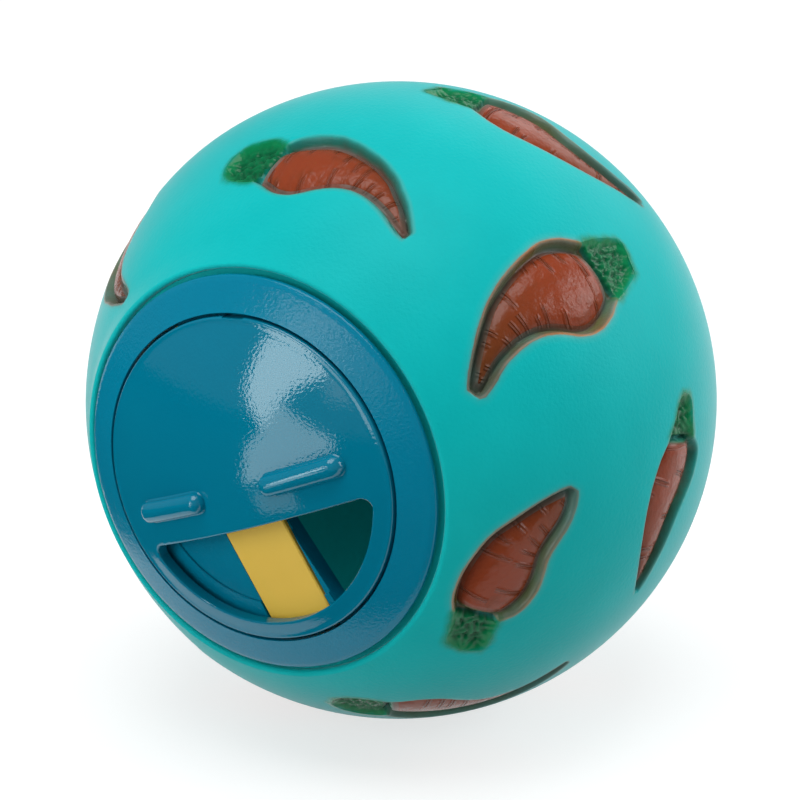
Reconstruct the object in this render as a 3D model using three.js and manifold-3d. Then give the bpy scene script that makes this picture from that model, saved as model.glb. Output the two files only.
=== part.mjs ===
// Treat dispensing ball for small pets: a soft vinyl ball with carrots moulded into it as sunken
// relief, and a pressed-in closure whose dial opens or shuts the gate that the treats fall through.
// Millimetres, +Z up, origin at the lowest point of the ball, dispenser facing -Y.

import * as THREE from 'three';
import { mergeVertices } from 'three/addons/utils/BufferGeometryUtils.js';
import Module from 'manifold-3d';

const wasm = await Module();
wasm.setup();

// Ball: one rotocast vinyl shell.
const ballRadius = 37.5;
const ballWall = 2.8;
const seatMargin = 0.65;
const seatLand = 2.25;
const seatRound = 2;

// Front face: the dial and the flange share one dome.
const domeRadius = 48;

// Collar: flange, barbed tube and gate plate in one moulding.
const flangeRadius = 22.85;
const flangeWidth = 3.85;
const flangeEdgeHeight = 0.65;
const flangeEdgeRound = 0.4;
const tubeWall = 1.8;
const barbReach = 1.2;
const barbLength = 2.6;

// Gate plate: a floor with a raised land that the dial's rim runs on, and a half-round hole.
const floorRise = 0.8;
const landRise = 0.3;
const landWidth = 3.8;
const plateThickness = 2.2;
const gateRimWidth = 2.4;
const hubBossRadius = 5;
const gateTurn = 34;

// Marker strip along the straight edge of the gate hole.
const stripWidth = 8.2;
const stripThickness = 0.6;
const stripClearance = 0.2;

// Dial.
const dialWall = 1.5;
const dialRimWidth = 1.4;
const dialEdgeRound = 0.35;
const dialTurn = 22.5;
const windowRimWidth = 2.15;
const windowChord = 4.8;
const windowCorner = 1.1;
const ribStart = 4.2;
const ribEndMargin = 2.1;
const ribWidth = 2.4;
const ribHeight = 1.6;
const ribOffset = 0.55;
const gateScarLength = 3.3;
const gateScarDepth = 0.3;
const gateScarTurn = 96;

// Hub post under the dial and the clip that holds it.
const hubRadius = 3.2;
const neckRadius = 2.5;
const hubTipRadius = 2.95;
const hubTipLength = 1.3;
const clipRadius = 5.2;
const clipThickness = 1.2;
const clipSlotWidth = 0.8;
const clipSlotReach = 1.6;

// Clearances.
const seatGap = 0.1;
const dialClearance = 0.35;
const runningGap = 0.3;
const hubClearance = 0.15;
const mouthClearance = 0.2;

// Carrot relief: sizes that all carrots share, then the two carrots of the mould.
const reliefDepth = 1.6;
const crownDepth = 0.4;
const leafDepth = 1.0;
const leafLump = 0.7;
const leafHalfWidth = 3.8;
const leafEndRound = 2.2;
const tipRound = 1.2;
const tipHalfWidth = 1.3;
const shoulderLength = 4.2;
const shoulderDrop = 0.5;
const wallDraft = 0.3;
const moatWidth = 0.5;
const cutterRise = 1;
const carrotKinds = {
  curved: { bodyLength: 22.5, leafLength: 7, halfWidth: 6, bend: 52, lead: 18, side: 2.7 },
  straight: { bodyLength: 18.8, leafLength: 6, halfWidth: 5.7, bend: 30, lead: 13, side: 1.2 },
};

// Where each carrot lies: turn is the angle round the dispenser seen from the front, polar the angle
// away from its axis, heading the way the tip points (0 = growing turn, 90 = to the dispenser), and
// belly the side that the carrot bulges to (1 = left of the heading).
const carrots = [
  { kind: 'curved', turn: 87, polar: 56, heading: 170, belly: 1 },
  { kind: 'curved', turn: 31, polar: 69, heading: 100, belly: -1 },
  { kind: 'straight', turn: -17, polar: 55, heading: -23, belly: 1 },
  { kind: 'straight', turn: -8, polar: 91, heading: 168, belly: -1 },
  { kind: 'curved', turn: 66, polar: 105, heading: -162, belly: -1 },
  { kind: 'curved', turn: -56, polar: 64, heading: -45, belly: -1 },
  { kind: 'curved', turn: 141, polar: 65, heading: 92, belly: -1 },
  { kind: 'curved', turn: -110, polar: 68, heading: 160, belly: 1 },
  { kind: 'straight', turn: -165, polar: 71, heading: -5, belly: -1 },
  { kind: 'straight', turn: 118, polar: 106, heading: -143, belly: 1 },
  { kind: 'curved', turn: -130, polar: 113, heading: 100, belly: -1 },
  { kind: 'straight', turn: -62, polar: 114, heading: -40, belly: 1 },
  { kind: 'curved', turn: 172, polar: 121, heading: 60, belly: -1 },
  { kind: 'straight', turn: 10, polar: 137, heading: 166, belly: 1 },
  { kind: 'curved', turn: 100, polar: 152, heading: 20, belly: 1 },
  { kind: 'straight', turn: -100, polar: 158, heading: 130, belly: -1 },
];

// Sizes that follow. Heights run along the dispenser axis from the ball's centre.
const boreRadius = flangeRadius - flangeWidth;
const gateHoleRadius = boreRadius - gateRimWidth;
const dialRadius = boreRadius - dialClearance;
const windowRadius = dialRadius - windowRimWidth;
const ribEnd = windowRadius - ribEndMargin;
const mouthRadius = flangeRadius - seatLand;
const seatRadius = flangeRadius + seatMargin;
const seatHeight = Math.sqrt((ballRadius - seatRound) ** 2 - seatRadius ** 2) + seatRound;
const lipHeight = seatHeight - ballWall;
const innerRadius = ballRadius - ballWall;
const flangeBottom = seatHeight + seatGap;
const edgeSag = domeRadius - Math.sqrt(domeRadius ** 2 - flangeRadius ** 2);
const crownHeight = flangeBottom + flangeEdgeHeight + edgeSag;
const tubeRadius = mouthRadius - mouthClearance;
const barbTop = lipHeight - seatGap;
const floorHeight = seatHeight + floorRise;
const landHeight = floorHeight + landRise;
const plateBottom = floorHeight - plateThickness;
const rimBottom = landHeight + runningGap;
const neckTop = plateBottom - runningGap;
const neckBottom = neckTop - clipThickness - 2 * seatGap;
const stripTop = landHeight;

const segments = { ball: 44, closure: 48, hub: 24, curve: 10 };
const rad = THREE.MathUtils.degToRad;

// Height of the dome at radius r, with the dome moved in by depth.
function domeHeight(r, depth = 0) {
  return crownHeight - domeRadius + Math.sqrt((domeRadius - depth) ** 2 - r ** 2);
}

// Points on an arc from angle a to angle b, in degrees, as [radius, height] pairs.
function arc(centreR, centreH, radius, a, b, steps) {
  return Array.from({ length: steps + 1 }, (_, i) => {
    const angle = rad(a + ((b - a) * i) / steps);
    return [centreR + radius * Math.cos(angle), centreH + radius * Math.sin(angle)];
  });
}

// Points on the dome from radius a to radius b.
function domeArc(a, b, steps, depth = 0) {
  return Array.from({ length: steps + 1 }, (_, i) => {
    const r = a + ((b - a) * i) / steps;
    return [r, domeHeight(r, depth)];
  });
}

// A body of revolution about Z; the profile runs upwards on the outside.
function revolve(profile, count) {
  const points = profile.map(([r, h]) => new THREE.Vector2(r, h));
  return new THREE.LatheGeometry(points, count).rotateX(Math.PI / 2);
}

function prism(shape, bottom, top) {
  const options = { depth: top - bottom, bevelEnabled: false, curveSegments: segments.curve };
  return new THREE.ExtrudeGeometry(shape, options).translate(0, 0, bottom);
}

// A closed skin over a row of rings with equal point counts.
function loft(rings) {
  const count = rings[0].length;
  const index = [];
  for (let row = 0; row < rings.length - 1; row++) {
    for (let k = 0; k < count; k++) {
      const a = row * count + k;
      const b = row * count + ((k + 1) % count);
      index.push(a, b, b + count, a, b + count, a + count);
    }
  }
  const last = (rings.length - 1) * count;
  for (let k = 1; k < count - 1; k++) {
    index.push(0, k + 1, k, last, last + k, last + k + 1);
  }
  const geometry = new THREE.BufferGeometry().setFromPoints(rings.flat());
  geometry.setIndex(index);
  return geometry;
}

function toSolid(geometry) {
  const bare = geometry.index ? geometry.clone() : geometry;
  bare.deleteAttribute('normal');
  bare.deleteAttribute('uv');
  const merged = mergeVertices(bare, 1e-4);
  const mesh = new wasm.Mesh({
    numProp: 3,
    vertProperties: new Float32Array(merged.attributes.position.array),
    triVerts: new Uint32Array(merged.index.array),
  });
  return new wasm.Manifold(mesh);
}

function toGeometry(solid) {
  const mesh = solid.getMesh();
  const geometry = new THREE.BufferGeometry();
  geometry.setAttribute('position', new THREE.BufferAttribute(mesh.vertProperties, 3));
  geometry.setIndex(new THREE.BufferAttribute(mesh.triVerts, 1));
  geometry.computeVertexNormals();
  return geometry;
}

// The carrot's middle line in its own plane: a straight leaf, then an arc that bends off the belly.
function middleLine(kind, s) {
  const lead = rad(kind.lead);
  const curl = rad(kind.bend) / kind.bodyLength;
  const shoulder = (kind.leafLength - kind.bodyLength) / 2;
  if (s <= 0) {
    return { x: shoulder + s, y: kind.side, angle: 0 };
  }
  const angle = lead - curl * s;
  const x = shoulder + (Math.sin(lead) - Math.sin(angle)) / curl;
  const y = kind.side + (Math.cos(angle) - Math.cos(lead)) / curl;
  return { x, y, angle };
}

// Half the width of the recess at distance s from the shoulder; the leaf has negative s.
function recessHalfWidth(kind, s) {
  if (s < 0) {
    const fromEnd = Math.min(s + kind.leafLength, leafEndRound) / leafEndRound;
    return leafHalfWidth * Math.sqrt(1 - (1 - fromEnd) ** 2);
  }
  const part = s / kind.bodyLength;
  const taper = kind.halfWidth + (tipHalfWidth - kind.halfWidth) * part;
  const short = Math.max(0, 1 - s / shoulderLength);
  const fromTip = Math.min(kind.bodyLength - s, tipRound) / tipRound;
  return taper * Math.sqrt(1 - shoulderDrop * short ** 2) * Math.sqrt(1 - (1 - fromTip) ** 2);
}

// Depth of the relief below the ball at share q of the half width.
function reliefAt(kind, s, q) {
  if (s < 0) {
    const lump = 0.5 + 0.5 * Math.cos(5 * q + 2.1 * s) * Math.cos(1.7 * s + 2 * q);
    return leafDepth - leafLump * lump * (1 - q ** 4);
  }
  const part = s / kind.bodyLength;
  const foot = 1 - (wallDraft + moatWidth) / Math.max(recessHalfWidth(kind, s), 2 * moatWidth);
  const share = Math.min(1, Math.abs(q) / foot);
  const rise = (reliefDepth - crownDepth) * (1 - 0.35 * part);
  return reliefDepth - rise * Math.sqrt(1 - share ** 2);
}

// A point at a carrot's own x and y, laid on a sphere of the given radius about the ball's centre.
function layOnBall(frame, x, y, radius) {
  const reach = Math.hypot(x, y);
  const angle = reach / ballRadius;
  const point = frame.out.clone().multiplyScalar(Math.cos(angle) * radius);
  if (reach > 0) {
    point.addScaledVector(frame.ahead, (Math.sin(angle) * radius * x) / reach);
    point.addScaledVector(frame.left, (Math.sin(angle) * radius * y) / reach);
  }
  return point;
}

function carrotFrame({ turn, polar, heading }) {
  const t = rad(turn);
  const p = rad(polar);
  const out = new THREE.Vector3(Math.sin(p) * Math.cos(t), Math.sin(p) * Math.sin(t), Math.cos(p));
  const round = new THREE.Vector3(-Math.sin(t), Math.cos(t), 0);
  const forward = new THREE.Vector3().crossVectors(out, round);
  const ahead = round.clone().multiplyScalar(Math.cos(rad(heading)));
  ahead.addScaledVector(forward, Math.sin(rad(heading)));
  return { out, ahead, left: new THREE.Vector3().crossVectors(out, ahead) };
}

// The solid that is taken out of the ball for one carrot: its bottom carries the relief.
function carrotCutter(carrot) {
  const kind = carrotKinds[carrot.kind];
  const frame = carrotFrame(carrot);
  const leafSteps = [0.03, 0.2, 0.46, 0.72, 0.97].map((k) => (k - 1) * kind.leafLength);
  const bodySteps = [0.01, 0.08, 0.2, 0.36, 0.53, 0.7, 0.85, 0.96, 0.995];
  const stations = [...leafSteps, ...bodySteps.map((k) => k * kind.bodyLength)];
  const shares = [1, 0.84, 0.55, 0.2];
  const across = [...shares.map((q) => -q), ...shares.toReversed()];
  const rings = stations.map((s) => {
    const { x, y, angle } = middleLine(kind, s);
    const half = recessHalfWidth(kind, s);
    const foot = half - Math.min(wallDraft, half / 3);
    const place = (offset, depth) => {
      const px = x - Math.sin(angle) * offset;
      const py = (y + Math.cos(angle) * offset) * carrot.belly;
      return layOnBall(frame, px, py, ballRadius - depth);
    };
    const floor = across.map((q) => place(q * foot, reliefAt(kind, s, q)));
    return [place(-half, -cutterRise), ...floor, place(half, -cutterRise)];
  });
  const ordered = carrot.belly > 0 ? rings : rings.map((ring) => ring.toReversed());
  return toSolid(loft(ordered));
}

function ballShell() {
  const roundEnd = THREE.MathUtils.radToDeg(Math.atan2(seatHeight - seatRound, seatRadius));
  const lipCorner = THREE.MathUtils.radToDeg(Math.asin(lipHeight / innerRadius));
  const profile = [
    ...arc(0, 0, ballRadius, -90, roundEnd, 18),
    ...arc(seatRadius, seatHeight - seatRound, seatRound, roundEnd, 90, 3).slice(1),
    [mouthRadius, seatHeight],
    [mouthRadius, lipHeight],
    ...arc(0, 0, innerRadius, lipCorner, -90, 9),
  ];
  profile[0][0] = 0;
  profile.at(-1)[0] = 0;
  const shell = toSolid(revolve(profile, segments.ball));
  return toGeometry(carrots.reduce((body, carrot) => body.subtract(carrotCutter(carrot)), shell));
}

// Outline of the strip in the gate's own plane, grown by a margin: x is negative on the shut side.
function stripShape(grow) {
  const outer = boreRadius - stripClearance + grow;
  const width = stripWidth + grow;
  const notch = hubBossRadius - grow;
  const edgeAngle = Math.acos(grow / outer);
  const backAngle = Math.acos(-width / outer);
  const notchAngle = Math.acos(grow / notch);
  const shape = new THREE.Shape();
  shape.absarc(0, 0, outer, edgeAngle, backAngle, false);
  shape.absarc(0, 0, outer, -backAngle, -edgeAngle, false);
  shape.absarc(0, 0, notch, -notchAngle, notchAngle, true);
  return shape;
}

function gateHoleShape() {
  const shape = new THREE.Shape();
  shape.moveTo(0, -gateHoleRadius);
  shape.absarc(0, 0, gateHoleRadius, -Math.PI / 2, Math.PI / 2, false);
  shape.lineTo(0, hubBossRadius);
  shape.absarc(0, 0, hubBossRadius, Math.PI / 2, -Math.PI / 2, true);
  return shape;
}

function collar() {
  const tubeBore = tubeRadius - tubeWall;
  const flangeTop = domeHeight(flangeRadius);
  const profile = [
    [hubRadius + hubClearance, plateBottom],
    [tubeBore, plateBottom],
    [tubeBore, barbTop - barbLength],
    [tubeRadius, barbTop - barbLength],
    [tubeRadius + barbReach, barbTop - barbLength / 4],
    [tubeRadius + barbReach, barbTop],
    [tubeRadius, barbTop],
    [tubeRadius, flangeBottom],
    [flangeRadius, flangeBottom],
    [flangeRadius, flangeTop - flangeEdgeRound / 2],
    ...domeArc(flangeRadius - flangeEdgeRound, boreRadius, 2),
    [boreRadius, landHeight],
    [boreRadius - landWidth, landHeight],
    [boreRadius - landWidth, floorHeight],
    [hubRadius + hubClearance, floorHeight],
    [hubRadius + hubClearance, plateBottom],
  ];
  const body = toSolid(revolve(profile, segments.closure));
  const hole = toSolid(prism(gateHoleShape(), plateBottom - 1, landHeight + 1));
  const rebateBottom = stripTop - stripThickness - seatGap;
  const rebate = toSolid(prism(stripShape(stripClearance), rebateBottom, landHeight + 1));
  const turn = [0, 0, gateTurn];
  return toGeometry(body.subtract(hole.rotate(turn)).subtract(rebate.rotate(turn)));
}

function markerStrip() {
  const strip = prism(stripShape(0), stripTop - stripThickness, stripTop);
  return toGeometry(toSolid(strip.rotateZ(rad(gateTurn))));
}

// A circular segment with round corners; the chord faces +Y.
function windowShape() {
  const inner = windowRadius - windowCorner;
  const cornerY = windowChord + windowCorner;
  const cornerX = Math.sqrt(inner ** 2 - cornerY ** 2);
  const cornerAngle = Math.atan2(-cornerY, cornerX);
  const shape = new THREE.Shape();
  shape.moveTo(-cornerX, -windowChord);
  shape.absarc(-cornerX, -cornerY, windowCorner, Math.PI / 2, Math.PI - cornerAngle, false);
  shape.absarc(0, 0, windowRadius, Math.PI - cornerAngle, 2 * Math.PI + cornerAngle, false);
  shape.absarc(cornerX, -cornerY, windowCorner, cornerAngle, Math.PI / 2, false);
  return shape;
}

// One finger rib: a bar with a round back that follows the dome, its ends rounded off.
function fingerRib(side) {
  const radius = ribWidth / 2;
  const ends = [0.08, 0.35, 0.8].map((k) => k * radius);
  const middle = [0.33, 0.67].map((k) => ribStart + (ribEnd - ribStart) * k);
  const near = [...ends, radius * 1.5].map((k) => ribStart + k);
  const far = [...ends, radius * 1.5].map((k) => ribEnd - k).reverse();
  const rings = [...near, ...middle, ...far].map((u) => {
    const fromEnd = Math.min(u - ribStart, ribEnd - u, radius) / radius;
    const swell = Math.sqrt(1 - (1 - fromEnd) ** 2);
    const base = domeHeight(Math.hypot(u, ribOffset));
    const back = arc(0, 0, 1, 0, 180, 6);
    const section = back.map(([v, h]) => {
      const rise = ribHeight - radius + radius * h;
      return new THREE.Vector3(side * u, side * v * radius * swell - ribOffset, base + rise * swell);
    });
    const root = base - dialWall / 2;
    const first = new THREE.Vector3(side * u, side * radius * swell - ribOffset, root);
    const last = new THREE.Vector3(side * u, -side * radius * swell - ribOffset, root);
    return [first, ...section, last];
  });
  return toSolid(loft(rings));
}

function dial() {
  const rimInner = dialRadius - dialRimWidth;
  const profile = [
    [0, neckBottom - hubTipLength],
    [hubTipRadius * 0.7, neckBottom - hubTipLength],
    [hubTipRadius, neckBottom - hubTipLength / 3],
    [hubTipRadius, neckBottom],
    [neckRadius, neckBottom],
    [neckRadius, neckTop],
    [hubRadius, neckTop],
    ...domeArc(hubRadius, rimInner, 3, dialWall),
    [rimInner, rimBottom],
    [dialRadius, rimBottom],
    [dialRadius, domeHeight(dialRadius) - dialEdgeRound],
    ...domeArc(dialRadius - dialEdgeRound, 0, 6),
  ];
  const body = toSolid(revolve(profile, segments.closure));
  const window = toSolid(prism(windowShape(), plateBottom, crownHeight + 1));
  const scar = new THREE.BoxGeometry(gateScarDepth * 2, gateScarLength, ribHeight * 2);
  scar.translate(dialRadius, 0, domeHeight(dialRadius));
  scar.rotateZ(rad(gateScarTurn - dialTurn));
  const ribbed = body.add(fingerRib(1)).add(fingerRib(-1));
  return toGeometry(ribbed.subtract(window).subtract(toSolid(scar)).rotate([0, 0, dialTurn]));
}

function dialClip() {
  const bore = neckRadius + seatGap;
  const top = neckTop - seatGap;
  const bottom = top - clipThickness;
  const profile = [
    [bore, bottom],
    [clipRadius - clipThickness / 4, bottom],
    [clipRadius, bottom + clipThickness / 4],
    [clipRadius, top],
    [bore, top],
    [bore, bottom],
  ];
  const ring = toSolid(revolve(profile, segments.hub));
  const slot = new THREE.BoxGeometry(2 * (bore + clipSlotReach), clipSlotWidth, 2 * clipThickness);
  slot.translate(0, 0, (top + bottom) / 2);
  const slots = [0, 90].map((angle) => toSolid(slot.clone().rotateZ(rad(angle + dialTurn))));
  return toGeometry(slots.reduce((body, cut) => body.subtract(cut), ring));
}

function plastic(color, roughness) {
  return new THREE.MeshStandardMaterial({ color, roughness, metalness: 0 });
}

function part(name, geometry, material) {
  const mesh = new THREE.Mesh(geometry, material);
  mesh.name = name;
  return mesh;
}

const vinyl = plastic(0x00b4b4, 0.5);
const blueAbs = plastic(0x00708c, 0.25);
const yellowAbs = plastic(0xd2a53c, 0.4);

// The parts are made with the dispenser axis along +Z and then laid over, so that it faces -Y.
const ball = new THREE.Group();
ball.rotation.x = Math.PI / 2;
ball.position.z = ballRadius;
ball.add(
  part('ball_shell', ballShell(), vinyl),
  part('collar', collar(), blueAbs),
  part('marker_strip', markerStrip(), yellowAbs),
  part('dial', dial(), blueAbs),
  part('dial_clip', dialClip(), blueAbs),
);
ball.updateMatrixWorld(true);

export default ball;
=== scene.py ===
# Looks for a treat dispensing ball: a soft vinyl ball with sunken, spray-painted carrots, and a
# blue closure with a turning dial. Lengths are in millimetres until they reach Blender.

import math

import bpy
import numpy as np
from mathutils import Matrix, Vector


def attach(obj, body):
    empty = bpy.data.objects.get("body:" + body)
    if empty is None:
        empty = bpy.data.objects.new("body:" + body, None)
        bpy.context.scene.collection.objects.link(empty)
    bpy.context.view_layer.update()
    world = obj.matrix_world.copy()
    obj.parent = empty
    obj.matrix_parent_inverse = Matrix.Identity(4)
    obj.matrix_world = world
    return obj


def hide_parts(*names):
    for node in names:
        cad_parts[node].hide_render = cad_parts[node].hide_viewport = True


mm = 0.001
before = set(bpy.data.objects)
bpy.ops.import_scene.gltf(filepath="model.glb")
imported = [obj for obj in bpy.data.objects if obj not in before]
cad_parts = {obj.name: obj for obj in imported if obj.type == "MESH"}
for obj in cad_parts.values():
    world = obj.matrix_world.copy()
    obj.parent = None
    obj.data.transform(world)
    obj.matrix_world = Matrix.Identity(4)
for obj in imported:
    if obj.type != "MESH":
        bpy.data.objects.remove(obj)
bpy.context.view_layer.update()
print("frame loaded:", sorted(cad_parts))

# The closure's axis runs along -Y through the ball's centre. Closure coordinates are x to the right
# and y up, seen from the front, and h, the height along that axis from the ball's centre.
ball = {
    "radius": 37.5,
    "wall": 2.8,
    "mouthRadius": 20.6,
    "seatRadius": 23.5,
    "seatRound": 2.0,
    "beadRound": 0.45,
    "grooveDepth": 0.7,
    "lipRound": 0.3,
    "dip": 0.8,  # in millimetres, and the next five in degrees
    "dipTurn": 155,
    "dipStart": 38,
    "dipRise": 7,
    "dipFade": 26,
    "dipEnd": 84,
    "spinSteps": 216,
    "outerRows": 86,
    "innerRows": 26,
}
seatHeight = (
    math.sqrt((ball["radius"] - ball["seatRound"]) ** 2 - ball["seatRadius"] ** 2)
    + ball["seatRound"]
)
lipHeight = seatHeight - ball["wall"]
ballCentre = Vector((0, 0, ball["radius"] * mm))
dome = {"radius": 48.0, "flangeRadius": 22.85, "flangeEdgeHeight": 0.65, "seatGap": 0.1}
flangeBottom = seatHeight + dome["seatGap"]
crownHeight = (
    flangeBottom
    + dome["flangeEdgeHeight"]
    + dome["radius"]
    - math.sqrt(dome["radius"] ** 2 - dome["flangeRadius"] ** 2)
)


# Closure coordinates to the frame, in metres.
def toFrame(points):
    p = np.asarray(points, float).reshape(-1, 3)
    return np.stack([p[:, 0], -p[:, 2], ball["radius"] + p[:, 1]], axis=1) * mm


# Height of the dome that the flange and the dial share, or of a dome that lies deeper.
def domeHeight(r, depth=0.0):
    return crownHeight - dome["radius"] + np.sqrt((dome["radius"] - depth) ** 2 - np.square(r))


def arcPoints(centreR, centreH, radius, start, end, steps):
    angles = np.radians(np.linspace(start, end, steps + 1))
    return [(centreR + radius * math.cos(a), centreH + radius * math.sin(a)) for a in angles]


def domePoints(start, end, steps, depth=0.0):
    return [(r, float(domeHeight(r, depth))) for r in np.linspace(start, end, steps + 1)]


# Mesh helpers: operators do the modelling, and code picks what they act on.
def setMode(mode):
    bpy.ops.object.mode_set(mode=mode)


def extrude(shift):
    bpy.ops.mesh.extrude_region_move(TRANSFORM_OT_translate={"value": shift})


def deselectAll():
    if bpy.context.object and bpy.context.object.mode != "OBJECT":
        setMode("OBJECT")
    bpy.ops.object.select_all(action="DESELECT")


def pick(obj):
    deselectAll()
    obj.select_set(True)
    bpy.context.view_layer.objects.active = obj


def newObject(name, data):
    obj = bpy.data.objects.new(name, data)
    bpy.context.scene.collection.objects.link(obj)
    return obj


def readPoints(obj):
    co = np.empty(len(obj.data.vertices) * 3)
    obj.data.vertices.foreach_get("co", co)
    return co.reshape(-1, 3)


def placePoints(obj, points):
    obj.data.vertices.foreach_set("co", np.asarray(points, float).ravel())
    obj.data.update()


def cleanShell(obj, gap=2e-6):
    pick(obj)
    setMode("EDIT")
    bpy.ops.mesh.select_all(action="SELECT")
    bpy.ops.mesh.remove_doubles(threshold=gap)
    bpy.ops.mesh.normals_make_consistent(inside=False)
    setMode("OBJECT")


def smooth(obj, angle):
    pick(obj)
    bpy.ops.object.shade_smooth_by_angle(angle=math.radians(angle))


def triangleCount(obj):
    return sum(len(face.vertices) - 2 for face in obj.data.polygons)


# A turned body: one point is extruded along the section, and the section is spun about the axis.
def turned(name, section, steps):
    points = toFrame([(r, 0, h) for r, h in section])
    deselectAll()
    bpy.ops.mesh.primitive_plane_add(size=mm)
    obj = bpy.context.object
    obj.name = name
    setMode("EDIT")
    bpy.ops.mesh.merge(type="CENTER")
    bpy.ops.transform.translate(value=points[0])
    for before, after in zip(points, points[1:]):
        extrude(after - before)
    bpy.ops.mesh.select_all(action="SELECT")
    bpy.ops.mesh.spin(steps=steps, angle=2 * math.pi, center=ballCentre, axis=(0, 1, 0))
    setMode("OBJECT")
    cleanShell(obj)
    return obj


# A solid drawn out through a row of rings that all have as many points: a round disc is extruded
# once for each ring, and each layer of it is then placed on its ring.
def drawnOut(name, rings):
    count = len(rings[0])
    deselectAll()
    bpy.ops.mesh.primitive_circle_add(vertices=count, radius=1, fill_type="NGON")
    obj = bpy.context.object
    obj.name = name
    setMode("EDIT")
    for _ in rings[1:]:
        extrude((0, 0, 1))
    setMode("OBJECT")
    co = readPoints(obj)
    layer = np.rint(co[:, 2]).astype(int)
    turn = np.rint(np.arctan2(co[:, 1], co[:, 0]) * count / (2 * math.pi)).astype(int) % count
    placed = np.array([toFrame(ring) for ring in rings])
    placePoints(obj, placed[layer, turn])
    cleanShell(obj, 1e-7)
    return obj


def joined(name, parts):
    deselectAll()
    for part in parts:
        part.select_set(True)
    bpy.context.view_layer.objects.active = parts[0]
    bpy.ops.object.join()
    parts[0].name = name
    return parts[0]


def boolean(obj, tool, operation):
    pick(obj)
    modifier = obj.modifiers.new(operation.lower(), "BOOLEAN")
    modifier.operation = operation
    modifier.object = tool
    modifier.solver = "MANIFOLD"
    bpy.ops.object.modifier_apply(modifier=modifier.name)
    bpy.data.objects.remove(tool)


# Materials: one function adds a node with its values and links, and gives back its outputs. Inputs
# go by name or number: MapRange takes 0 from the range 1 to 2 to the range 3 to 4, and Mix takes 2
# to 3 or, for colours, 6 to 7.
def addNode(tree, kind, values=None, stops=None, **settings):
    node = tree.nodes.new("ShaderNode" + kind)
    for key, value in settings.items():
        setattr(node, key, value)
    for key, value in (values or {}).items():
        if isinstance(value, bpy.types.NodeSocket):
            tree.links.new(value, node.inputs[key])
        else:
            node.inputs[key].default_value = value
    if stops:
        ramp = node.color_ramp.elements
        while len(ramp) < len(stops):
            ramp.new(1)
        for element, (position, colour) in zip(ramp, stops):
            element.position, element.color = position, colour
    return node.outputs


def srgb(code):
    parts = [int(code[i : i + 2], 16) / 255 for i in (1, 3, 5)]
    return [c / 12.92 if c <= 0.04045 else ((c + 0.055) / 1.055) ** 2.4 for c in parts] + [1]


def grey(share):
    return (share, share, share, 1)


def newMaterial(name):
    material = bpy.data.materials.new(name)
    material.use_nodes = True
    tree = material.node_tree
    tree.nodes.clear()
    return material, tree


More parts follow.
